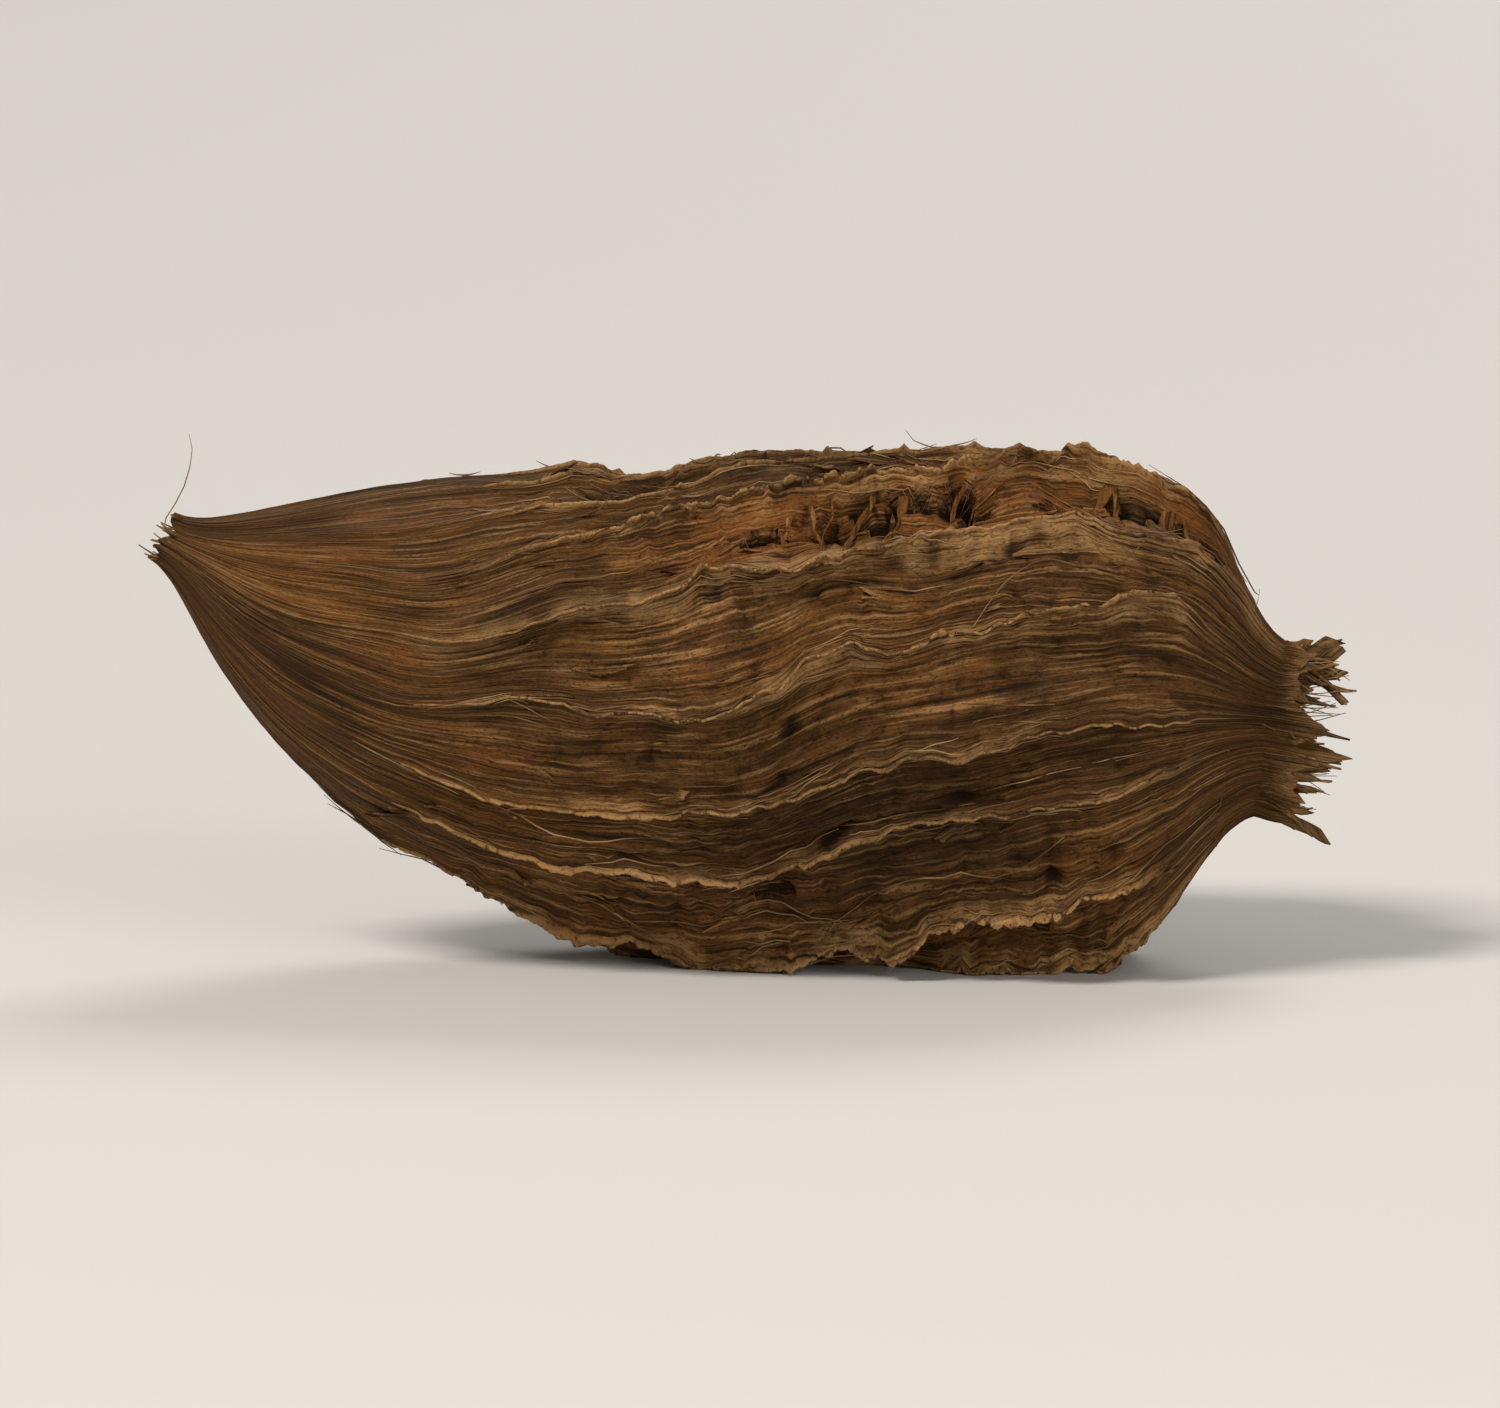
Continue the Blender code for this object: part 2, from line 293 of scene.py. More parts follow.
RELIEF_AT_STALK, RELIEF_FROM, RELIEF_OVER = 0.12, 0.10, 0.38
RELIEF_AT_NECK, RELIEF_NECK_OVER = 0.3, 0.06
RELIEF_ON_THIN = 0.35

# How the crests narrow, tear and crinkle. Wing 0 is worn most, and the wings on top crumble least
CREST_NARROW = 0.32
CREST_TEARS = ((1.0, 0.70, 2), (0.6, 0.32, 3))
CREST_NOTCH, NOTCH_FROM, NOTCH_SHARP = 0.40, 0.12, 1.6
CREST_BENDS = ((1.0, 0.95, 4), (0.5, 0.40, 5))
CREST_CRINKLE = 0.20
WORN_CRESTS = {0: 2.2}
WHOLE_CRESTS = {0: 0.7, 11: 0.35, 12: 0.3, 13: 0.3}

# How pale the crests and the net are rubbed, and the painted shade that darkens the valleys, pits and folds
CREST_BARE, BARE_IF_WORN, BARE_IF_TORN = 0.55, 0.10, 0.5
BARE_PATCHES = ((0.6, 1.8, 0.26, 14),)
WORN_STAND = 0.3
NET_WORN = 0.22
VALLEY_PAINTED_SHADE, PIT_PAINTED_SHADE, FOLD_PAINTED_SHADE = 0.22, 1.6, 0.28

# Holes torn in the hollows, as (share of the length, place in wings, half length, half width) in millimetres
HOLES = (
    (0.542, -0.52, 0.42, 0.34), (0.612, -0.60, 1.00, 0.62), (0.652, -0.42, 0.46, 0.30),
    (0.704, -0.74, 0.66, 0.44), (0.736, -0.50, 0.44, 0.38), (0.806, -0.40, 0.46, 0.34),
    (0.862, -0.52, 0.56, 0.58), (0.925, -0.58, 0.56, 0.60), (0.545, 3.5, 0.70, 0.23),
    (0.785, 4.5, 0.85, 0.25), (0.655, 11.5, 0.95, 0.23), (0.725, 8.5, 0.70, 0.24),
)
HOLE_RIM = ((0.55, 0.85, 0.50, 6), (0.35, 0.40, 0.26, 8))
HOLE_FROM, HOLE_WHOLE = 0.40, 0.56
HOLE_DEPTH = 1.25
HOLE_FLOOR = ((0.5, 0.8, 0.5, 9),)
# Painted shade inside the torn holes: how dark, and over which part of the hole it comes on
HOLE_PAINTED_SHADE, HOLE_PAINTED_SHADE_FROM, HOLE_PAINTED_SHADE_TO = 1.3, 0.05, 0.60
HOLE_RIM_WORN = 1.6
HOLLOW_LEFT = 0.60
GRAIN_RISE = 1.2

# Rust: patches everywhere, and painted light in a band behind the front wing, where the upper face is lit:
# more of the patches and an even red-brown over them. The band's limits are shares of the length and places
# in wings
RUST_MEAN, RUST_PATCHES = 0.40, ((0.9, 4.5, 2.6, 21), (0.7, 1.4, 0.6, 22))
PAINTED_LIGHT_ALONG, PAINTED_LIGHT_BEHIND, PAINTED_LIGHT_FRONT = (0.36, 0.60), (-2.4, -1.2), (-0.25, 0.05)
RUST_ALL_OVER, PAINTED_LIGHT_PATCHES, PAINTED_LIGHT_EVEN = 0.45, 0.70, 0.18
RUST_LOST = 0.8

# Towards the stalk the skin is rubbed warmer and paler, in streaks
TIP_REACH = 0.22
TIP_WORN, TIP_EVEN, TIP_STREAKS = 0.42, 0.7, ((1.2, 3.5, 0.30, 16),)
TIP_RUST = 0.34


def eased(value, low, high):
    """0 up to low, 1 from high on, and an even S between them."""
    part = max(0.0, min(1.0, (value - low) / (high - low)))
    return part * part * (3.0 - 2.0 * part)


def torn_through(share, around, grain):
    """1 in a torn hole, 0 on whole skin, and a ragged rim between them."""
    deepest = 0.0
    for at_share, at_wing, half_length, half_width in HOLES:
        along, across = distances(share, around, at_share, at_wing)
        deepest = max(deepest, 1.0 - math.hypot(along / half_length, across / half_width) / 2)
    if deepest <= 0.0:
        return 0.0
    return eased(deepest + lumpy(grain, HOLE_RIM), HOLE_FROM, HOLE_WHOLE)


def relief_share(share):
    """Share of the relief that shows: little of it at the stalk, all along the body, and less at the neck."""
    after_stalk = min(1.0, max(RELIEF_AT_STALK, (share - RELIEF_FROM) / RELIEF_OVER))
    return after_stalk * min(1.0, max(RELIEF_AT_NECK, (1.0 - share) / RELIEF_NECK_OVER))


def fine_relief(section, number, offset, around):
    """The dried skin's relief: millimetres outwards and sideways, how worn it is, and how dark its painted
    shade is.
    """
    share = section["share"]
    grain = grain_point(share, around)
    profile = wing_profile(offset)
    tall = section["heights"][number] / MM
    rise = relief_share(share)
    out = sum(depth * lumps(grain, along, across, 1) for along, across, depth in STRIAE)
    out += sum(depth * rise * lumps(grain, size * LUMP_STRETCH, size, 2) for size, depth in LUMPS)
    warped = grain + WARP_WAY * lumpy(grain, CREASE_WARP)
    crease = 0.0
    for layer, (along, across, depth) in enumerate(CREASES):
        fold = min(FOLD_LIMIT, abs(lumps(warped, along, across, 3 + 6 * layer)))
        out += depth * rise * (1.0 - profile) * (fold - FOLD_LEVEL)
        crease += max(0.0, FOLD_LINE - fold) / FOLD_LINE
    net = max(0.0, 1.0 - abs(lumps(warped, NET_ALONG, NET_ACROSS, 12)) / NET_WIDTH)
    out += NET_LIFT * rise * net * net
    for place, width, lift in VEINS:
        wander = crinkled(grain, number + place, VEIN_WANDER)
        strength = max(0.0, VEIN_STRENGTH + crinkled(grain, number + place, VEIN_FADES))
        out += lift * rise * strength / (1.0 + (((offset % 1.0) - place - wander) / width) ** 2)
    pit = max(0.0, lumpy(grain, PITS) - PIT_FROM) * rise
    torn = crinkled(grain, number, CREST_TEARS)
    crumbled = WHOLE_CRESTS.get(number, 1.0)
    out -= PIT_DEPTH * pit
    out -= max(0.0, torn + NOTCH_FROM) * CREST_NOTCH * crumbled * tall * profile ** NOTCH_SHARP
    out -= CREST_NARROW * crumbled ** 2 * tall * 4.0 * profile * (1.0 - profile)
    sideways = crinkled(grain, number, CREST_BENDS)
    sideways *= CREST_CRINKLE * crumbled * profile * rise
    wear = WORN_CRESTS.get(number, 1.0)
    stand = min(1.0, tall * (1.0 + WORN_STAND * WORN_CRESTS.get(number, 0.0)))
    bare = CREST_BARE + BARE_IF_WORN * (wear - 1.0) + BARE_IF_TORN * torn + lumpy(grain, BARE_PATCHES)
    worn = profile ** (NOTCH_SHARP / wear) * stand * bare + NET_WORN * rise * net
    worn += TIP_WORN * max(0.0, 1.0 - share / TIP_REACH) * (TIP_EVEN + lumpy(grain, TIP_STREAKS))
    # Painted shade in the valleys, pits and creases
    dark = VALLEY_PAINTED_SHADE * rise * (1.0 - profile) + PIT_PAINTED_SHADE * pit + FOLD_PAINTED_SHADE * rise * crease
    return out, sideways, worn, dark


def skin_point(section, around, fine=1.0):
    """Point of the husk's skin, the way outwards, how worn it is there, and how dark its painted shade is,
    each from 0 to 1.

    around counts wings. fine is the share of the dried skin's small relief that the plain surface gets.
    """
    nearest = math.floor(around + 0.5)
    offset = around - nearest
    number = nearest % WINGS
    neighbour = (number + (1 if offset > 0 else -1)) % WINGS
    wing_at = section["angles"][number]
    gap = abs((section["angles"][neighbour] - wing_at + math.pi) % math.tau - math.pi)
    profile = wing_profile(offset)
    height = section["heights"][number] * profile
    height += section["heights"][neighbour] * wing_profile(1.0 - abs(offset))
    lean = section["leans"][number] * profile * height
    sunk = hollow_depth(section["share"], around)
    girth = section["radius"] / GIRTH_RADIUS
    out = sideways = worn = dark = hole = 0.0
    if fine:
        out, sideways, worn, dark = fine_relief(section, number, offset, around)
        grain = grain_point(section["share"], around)
        hole = torn_through(section["share"], around, grain)
        sunk = HOLLOW_LEFT * sunk + HOLE_DEPTH * MM * hole * (1.0 + lumpy(grain, HOLE_FLOOR))
        worn = (worn + HOLE_RIM_WORN * hole) * (1.0 - hole)
        # Painted shade inside the torn holes
        dark += HOLE_PAINTED_SHADE * eased(hole, HOLE_PAINTED_SHADE_FROM, HOLE_PAINTED_SHADE_TO)
    angle = wing_at + offset * gap + (lean + sideways * MM * fine) / GIRTH_RADIUS
    corner = 1.0 + CORNER_SWELL * math.cos(3 * (angle - FRONT_CORNER - section["twist"]))
    relief = out * MM * fine * (RELIEF_ON_THIN + (1.0 - RELIEF_ON_THIN) * girth)
    reach = section["radius"] * corner + height - sunk * girth + relief
    outwards = section["side"] * math.cos(angle) + section["up"] * (math.sin(angle) * SECTION_SQUASH)
    return {
        "point": section["centre"] + outwards * reach,
        "outwards": outwards.normalized(),
        "worn": max(0.0, min(1.0, worn)),
        "dark": max(0.0, min(1.0, dark)),
        "sunk": sunk * girth,
        "rise": GRAIN_RISE * profile - HOLE_DEPTH * hole,
    }


def off_skin(spot, lift):
    """Point of the standing pod at a lift off its skin, in millimetres."""
    return spot["point"] + spot["outwards"] * (lift * MM) + settled


def rust_and_painted_light_at(share, around):
    """How red-brown the skin is: rust in patches, and painted light in a band round the hollows behind the
    front wing.
    """
    grain = grain_point(share, around)
    behind = wings_apart(around, 0)
    # Painted light: the upper face behind the front wing, where the light falls, is painted redder and paler
    painted_light_band = eased(share, *PAINTED_LIGHT_ALONG) * eased(behind, *PAINTED_LIGHT_BEHIND) * (1.0 - eased(behind, *PAINTED_LIGHT_FRONT))
    patchy = RUST_MEAN + lumpy(grain, RUST_PATCHES)
    tip = TIP_RUST * max(0.0, 1.0 - share / TIP_REACH)
    rust_and_painted_light = patchy * (RUST_ALL_OVER + PAINTED_LIGHT_PATCHES * painted_light_band) + PAINTED_LIGHT_EVEN * painted_light_band + tip
    return max(0.0, min(1.0, rust_and_painted_light)) * (1.0 - RUST_LOST * torn_through(share, around, grain))


def scar_edge(around, fine=1.0):
    """Point of the stalk scar's ragged rim."""
    jagged = drawn_value("scar", around) + SCAR_JAGGED * fine * noise_at(around * 2.3, 0.4, 9.1)
    return skin_point(stalk_end, around, fine)["point"] - stalk_end["ahead"] * (SCAR_RAGGED * jagged)


def crown_edge(around, rise, inside=0.0):
    """Point of the crown's wall. rise runs from its foot to its tips, inside from its outer face inwards."""
    base = skin_point(neck, around, NECK_RELIEF)["point"]
    out = (base - neck["centre"]).normalized()
    offset = around - math.floor(around + 0.5)
    torn = 1.0 - CROWN_TEAR * 2 * abs(offset)
    for weight, steps, row, layer in CROWN_NOTCHES:
        torn *= 1.0 + weight * noise_at(around * steps, row, layer)
    reach = CROWN_LENGTH * drawn_value("crown", around) * torn * rise
    curl = drawn_value("curl", around) * reach * rise
    crimp = CROWN_CRIMP * noise_at(around * 5.1, rise * 2.0, 7.0)
    return base + neck["ahead"] * reach + out * (curl + crimp - CROWN_WALL * inside)


def cup_point(around, spread, depth):
    """Point inside the crown's cup, at a share of its radius and of its depth."""
    base = skin_point(neck, around, 0.0)["point"]
    return neck["centre"] + (base - neck["centre"]) * spread - neck["ahead"] * (CUP_DEPTH * depth)


def even_share(ring, rings):
    """Share of the length at a ring of the husk, where the rings crowd towards both ends."""
    even = (ring - 1) / (rings - 1)
    return even - END_CROWDING * math.sin(math.tau * even) / math.tau


def mark_skin(mesh, marks):
    """Gives each vertex its wear, its dark (mostly painted shade), its rust and painted light, and its place
    in the grain.
    """
    for place, name in enumerate(("worn", "dark", "rust_and_painted_light")):
        values = [mark[place] for mark in marks]
        mesh.attributes.new(name, "FLOAT", "POINT").data.foreach_set("value", values)
    grains = [value for mark in marks for value in Vector(mark[3]) * MM]
    mesh.attributes.new("grain", "FLOAT_VECTOR", "POINT").data.foreach_set("vector", grains)


def face_outwards(join_within=0.0):
    """Turns the faces of the selected mesh outwards and shades it smooth, its nearest points joined first."""
    bpy.ops.object.mode_set(mode="EDIT")
    bpy.ops.mesh.select_all(action="SELECT")
    if join_within:
        bpy.ops.mesh.remove_doubles(threshold=join_within)
    bpy.ops.mesh.normals_make_consistent(inside=False)
    bpy.ops.object.mode_set(mode="OBJECT")
    bpy.ops.object.shade_smooth()


def new_material(name):
    """A material, and the shader that its colours go into."""
    material = bpy.data.materials.new(name)
    material.use_nodes = True
    return material, material.node_tree.nodes["Principled BSDF"]


COLUMNS_PER_WING = 25
COLUMNS = WINGS * COLUMNS_PER_WING
COLUMN_CROWDING = 1.12
HUSK_RINGS = 216
WALL_RINGS = 14
CUP_RINGS = 12
FLOOR_RINGS = 6
RINGS = HUSK_RINGS + WALL_RINGS + CUP_RINGS + FLOOR_RINGS
END_CROWDING = 0.15
GRAIN_PER_RING = 0.002
SCAR_WORN, SCAR_DARK = 0.3, 0.6
# The crown wall: paler towards its tips, with painted shade at its foot
WALL_WORN, WALL_TIP_WORN, WALL_FOOT_PAINTED_SHADE = 0.1, 0.55, 0.25
CUP_WORN = 0.4

wings = draw_wings(random.Random(SEED))
stalk_end = section_at(0.0)
neck = section_at(1.0)

# Where the CAD pod stands: its coarse rings and columns are worked out once, and set against its box
CAD_RINGS = 50
CAD_OFFSETS = (-0.5, -0.28, -0.10, 0.0, 0.10, 0.28)
cad_places = [number + offset for number in range(WINGS) for offset in CAD_OFFSETS]
cad_points = [skin_point(section_at(even_share(ring, CAD_RINGS)), around, 0.0)["point"]
              for ring in range(2, CAD_RINGS + 1) for around in cad_places]
settled = Vector((
    cad_low.x - min(scar_edge(around, 0.0).x for around in cad_places),
    -(min(point.y for point in cad_points) + max(point.y for point in cad_points)) / 2,
    cad_high.z - max(point.z for point in cad_points),
))

columns = []
for column in range(COLUMNS):
    number, place = divmod(column, COLUMNS_PER_WING)
    even = place / COLUMNS_PER_WING - 0.5
    columns.append(number + math.copysign(0.5 * abs(2 * even) ** COLUMN_CROWDING, even))
sections = [section_at(even_share(max(ring, 1), HUSK_RINGS)) for ring in range(HUSK_RINGS + 1)]

bpy.ops.object.select_all(action="DESELECT")
bpy.ops.mesh.primitive_uv_sphere_add(segments=COLUMNS, ring_count=RINGS, radius=1.0)
husk = bpy.context.object
husk.name = "husk"
marks = []
for vertex in husk.data.vertices:
    ring = round(math.acos(max(-1.0, min(1.0, vertex.co.z))) / math.pi * RINGS)
    column = round(math.atan2(vertex.co.y, vertex.co.x) / math.tau * COLUMNS) % COLUMNS
    around = columns[column]
    wall = (ring - HUSK_RINGS) / WALL_RINGS
    cup = (ring - HUSK_RINGS - WALL_RINGS) / CUP_RINGS
    floor = (ring - HUSK_RINGS - WALL_RINGS - CUP_RINGS) / FLOOR_RINGS
    share = sections[min(ring, HUSK_RINGS)]["share"] + max(0, ring - HUSK_RINGS) * GRAIN_PER_RING
    rise = GRAIN_RISE * wing_profile(around - math.floor(around + 0.5))
    if ring == 0:
        point, worn, dark = stalk_end["centre"] + stalk_end["ahead"] * SCAR_PIT, SCAR_WORN, SCAR_DARK
    elif ring <= HUSK_RINGS:
        spot = skin_point(sections[ring], around)
        point, worn, dark, rise = spot["point"], spot["worn"], spot["dark"], spot["rise"]
        if ring == 1:
            point = scar_edge(around)
    elif wall <= 1.0:
        point = crown_edge(around, wall)
        # Painted shade at the wall's foot
        worn, dark = WALL_WORN + WALL_TIP_WORN * wall, WALL_FOOT_PAINTED_SHADE * (1.0 - wall)
    elif cup <= 1.0:
        point = crown_edge(around, CUP_RIM, 1.0).lerp(cup_point(around, CUP_WIDTH, 1.0), cup)
        # Painted shade, deepening down the cup
        worn, dark = CUP_WORN * (1.0 - cup), cup
    else:
        point = cup_point(around, CUP_WIDTH * (1.0 - floor), 1.0 + CUP_DISH * floor)
        # Painted shade: the cup's floor black
        worn, dark = 0.0, 1.0
    point += settled
    vertex.co = (point.x, point.y, max(0.0, point.z))
    marks.append((worn, dark, rust_and_painted_light_at(share, around), grain_point(share, around, rise)))
mark_skin(husk.data, marks)
face_outwards()

HUSK_DEEP = (0.014, 0.0066, 0.0024, 1.0)
HUSK_MID = (0.060, 0.028, 0.0085, 1.0)
HUSK_WARM = (0.138, 0.058, 0.0140, 1.0)
HUSK_RUST_AND_PAINTED_LIGHT = (0.195, 0.068, 0.0150, 1.0)
HUSK_WORN = (0.345, 0.190, 0.074, 1.0)
HUSK_DUST = (0.180, 0.112, 0.050, 1.0)


def fibre_grain_group():
    """Streaks and specks of dried plant fibre, from the straightened grain in metres."""
    group = bpy.data.node_groups.new("Fibre grain", "ShaderNodeTree")
    layers = (
        ("Streaks", (220, 2600, 2600), 4.0, 0.6),
        ("Hairlines", (420, 9000, 9000), 3.0, 0.55),
        ("Specks", (2600, 3600, 3600), 4.0, 0.65),
        ("Grit", (9000, 16000, 16000), 2.0, 0.6),
    )
    group.interface.new_socket("Grain", in_out="INPUT", socket_type="NodeSocketVector")
    for name, *_ in layers:
        group.interface.new_socket(name, in_out="OUTPUT", socket_type="NodeSocketFloat")
    nodes, links = group.nodes, group.links
    start = nodes.new("NodeGroupInput")
    end = nodes.new("NodeGroupOutput")
    for name, scale, detail, roughness in layers:
        stretch = nodes.new("ShaderNodeMapping")
        stretch.inputs["Scale"].default_value = scale
        pattern = nodes.new("ShaderNodeTexNoise")
        pattern.inputs["Scale"].default_value = 1.0
        pattern.inputs["Detail"].default_value = detail
        pattern.inputs["Roughness"].default_value = roughness
        links.new(start.outputs["Grain"], stretch.inputs["Vector"])
        links.new(stretch.outputs["Vector"], pattern.inputs["Vector"])
        links.new(pattern.outputs["Fac"], end.inputs[name])
    return group


fibre_grain = fibre_grain_group()


def add_node(material, kind, **values):
    """A node of the material, with values for its sockets by name or number."""
    node = material.node_tree.nodes.new(kind)
    for name, value in values.items():
        node.inputs[name.replace("_", " ")].default_value = value
    return node


def ramp_node(material, source, stops):
    """A grey ramp that turns a source value into a mask, from (position, value) stops."""
    node = material.node_tree.nodes.new("ShaderNodeValToRGB")
    ramp = node.color_ramp
    while len(ramp.elements) < len(stops):
        ramp.elements.new(0.5)
    for element, (position, value) in zip(ramp.elements, stops):
        element.position = position
        element.color = (value, value, value, 1.0)
    material.node_tree.links.new(source, node.inputs["Fac"])
    return node.outputs["Color"]


def math_node(material, operation, first, second):
    """A sum, product or the like of two values or sockets."""
    node = material.node_tree.nodes.new("ShaderNodeMath")
    node.operation = operation
    for socket, value in zip(node.inputs, (first, second)):
        if isinstance(value, (int, float)):
            socket.default_value = value
        else:
            material.node_tree.links.new(value, socket)
    return node.outputs["Value"]


# A colour mix's sockets for its mask and its two colours, and the one for its result
MIX_MASK, MIX_UNDER, MIX_OVER, MIX_RESULT = 0, 6, 7, 2


def tint_node(material, mask, under, over):
    """One colour laid over another where the mask is white. Either colour can be a socket."""
    node = material.node_tree.nodes.new("ShaderNodeMix")
    node.data_type = "RGBA"
    for place, value in ((MIX_UNDER, under), (MIX_OVER, over)):
        if isinstance(value, tuple):
            node.inputs[place].default_value = value
        else:
            material.node_tree.links.new(value, node.inputs[place])
    material.node_tree.links.new(mask, node.inputs[MIX_MASK])
    return node.outputs[MIX_RESULT]


def layer_sum(material, layers, weights):
    """Sum of layers of the grain, from (name, weight) rows."""
    total = 0.0
    for name, weight in weights:
        weighted = math_node(material, "MULTIPLY", layers[name], weight)
        total = math_node(material, "ADD", total, weighted)
    return total


def mark_node(material, name, socket="Fac"):
    """One of the marks that mark_skin gave the mesh."""
    node = material.node_tree.nodes.new("ShaderNodeAttribute")
    node.attribute_name = name
    return node.outputs[socket]


def grain_layers(material, place):
    """The fibre grain's streaks and specks at a place."""
    node = material.node_tree.nodes.new("ShaderNodeGroup")
    node.node_tree = fibre_grain
    material.node_tree.links.new(place, node.inputs["Grain"])
    return node.outputs


def noise_node(material, place, **values):
    """Noise at a place, as a value from 0 to 1."""
    node = add_node(material, "ShaderNodeTexNoise", **values)
    material.node_tree.links.new(place, node.inputs["Vector"])
    return node.outputs["Fac"]


def painted(material, base, coats):
    """A base colour under coats of (source, its ramp's stops, colour), each over the ones before it."""
    colour = base
    for source, stops, over in coats:
        colour = tint_node(material, ramp_node(material, source, stops), colour, over)
    return colour


husk_skin, shader = new_material("Dried husk skin")
links = husk_skin.node_tree.links
shader.inputs["Specular IOR Level"].default_value = 0.09
grain = mark_node(husk_skin, "grain", "Vector")
worn, dark, rust_and_painted_light = (mark_node(husk_skin, name) for name in ("worn", "dark", "rust_and_painted_light"))
fibre = grain_layers(husk_skin, grain)
patches = noise_node(husk_skin, grain, Scale=260.0, Detail=4.0, Roughness=0.6)
stains = noise_node(husk_skin, grain, Scale=110.0, Detail=3.0, Roughness=0.7)

# Hairlines and specks break up every mask's edge, evenly to both sides of it
BREAKUP = (("Hairlines", 0.8), ("Specks", 0.6))
BREAKUP_MEAN = 0.7
breakup = math_node(husk_skin, "SUBTRACT", layer_sum(husk_skin, fibre, BREAKUP), BREAKUP_MEAN)
colour = painted(husk_skin, HUSK_MID, (
    (fibre["Streaks"], ((0.38, 0.0), (0.60, 1.0)), HUSK_WARM),
    (patches, ((0.40, 0.0), (0.60, 0.75)), HUSK_MID),
    # Rust, with the band of painted light on the upper face
    (math_node(husk_skin, "ADD", rust_and_painted_light, breakup), ((0.30, 0.0), (0.85, 0.80)), HUSK_RUST_AND_PAINTED_LIGHT),
    (math_node(husk_skin, "ADD", worn, breakup), ((0.25, 0.0), (0.75, 0.85)), HUSK_WORN),
    (fibre["Hairlines"], ((0.54, 0.0), (0.66, 0.55)), HUSK_WORN),
    (fibre["Specks"], ((0.58, 0.0), (0.78, 0.45)), HUSK_DUST),
    (fibre["Hairlines"], ((0.34, 0.8), (0.47, 0.0)), HUSK_DEEP),
    (fibre["Grit"], ((0.30, 0.7), (0.48, 0.0)), HUSK_DEEP),
    (stains, ((0.48, 0.0), (0.66, 0.5)), HUSK_DEEP),
    # Painted shade from the dark mark: valleys, pits, creases, holes, the cup and the feet of edges and
    # shreds, with a little even tone on flakes and strands
    (math_node(husk_skin, "SUBTRACT", dark, breakup), ((0.22, 0.0), (0.80, 0.94)), HUSK_DEEP),
))
links.new(colour, shader.inputs["Base Color"])
rough = ramp_node(husk_skin, fibre["Specks"], ((0.30, 0.66), (0.70, 0.92)))
links.new(rough, shader.inputs["Roughness"])

SKIN_RELIEF = (("Streaks", 0.8), ("Hairlines", 0.8), ("Specks", 0.7), ("Grit", 0.35))
bump = add_node(husk_skin, "ShaderNodeBump", Strength=0.9, Distance=0.13 * MM)
links.new(layer_sum(husk_skin, fibre, SKIN_RELIEF), bump.inputs["Height"])
links.new(bump.outputs["Normal"], shader.inputs["Normal"])

husk.data.materials.append(husk_skin)
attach(husk, "root")
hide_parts("pod")

# The wings' torn edges
# Along its crest each wing thins to a papery, fibrous edge that has cracked and worn away in places. It is
# the same skin as the husk, and each strip stands with its foot sunk in the crest that it grew from.

PAPER_CLEAR = 0.03 * MM
EDGE_FROM, EDGE_TO = 0.13, 0.965
EDGE_STEPS = 480
EDGE_ROWS = 4
EDGE_TALL = 0.80
EDGE_LIMIT = 0.7
EDGE_LEAST = 0.03
EDGE_EVEN, EDGE_TEARS = 0.14, ((1.5, 1.3, 2), (0.9, 0.42, 11))
EDGE_RUN_MEAN, EDGE_RUNS = 0.75, ((0.5, 4.5, 15),)
EDGE_TEETH, EDGE_FRAY = ((0.30, 0.16, 12),), 0.10
STALK_FADE, CROWN_FADE = 0.16, 0.06
EDGE_BENDS = ((0.8, 1.4, 13), (0.4, 0.45, 14))
EDGE_CRIMPS = ((0.35, 0.30, 16),)
EDGE_FOOT = 0.22
EDGE_ROOT = 0.04
# The edges paler towards their tips, with painted shade at their feet
EDGE_WORN, EDGE_TIP_WORN, EDGE_FOOT_PAINTED_SHADE = 0.10, 0.62, 0.2
EDGE_THICK = 0.055 * MM


def papery_piece(name, sheets, shape, columns, rows, thickness):
    """One mesh of thin sheets. shape(sheet, across, up) gives a place's point, worn, dark, rust and grain."""
    parts = []
    for sheet in sheets:
        bpy.ops.object.select_all(action="DESELECT")
        bpy.ops.mesh.primitive_grid_add(x_subdivisions=columns, y_subdivisions=rows, size=1.0)
        part = bpy.context.object
        parts.append(part)
        marks = []
        for vertex in part.data.vertices:
            point, *mark = shape(sheet, vertex.co.x + 0.5, vertex.co.y + 0.5)
            vertex.co = (point.x, point.y, max(PAPER_CLEAR, point.z))
            marks.append(mark)
        mark_skin(part.data, marks)
    bpy.ops.object.select_all(action="DESELECT")
    for part in parts:
        part.select_set(True)
    bpy.context.view_layer.objects.active = parts[0]
    bpy.ops.object.join()
    piece = bpy.context.object
    piece.name = name
    body = piece.modifiers.new("Thickness", "SOLIDIFY")
    body.thickness = thickness
    body.offset = 0.0
    bpy.ops.object.modifier_apply(modifier=body.name)
    bpy.ops.object.shade_smooth()
    piece.data.materials.append(husk_skin)
    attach(piece, "root")
    return piece


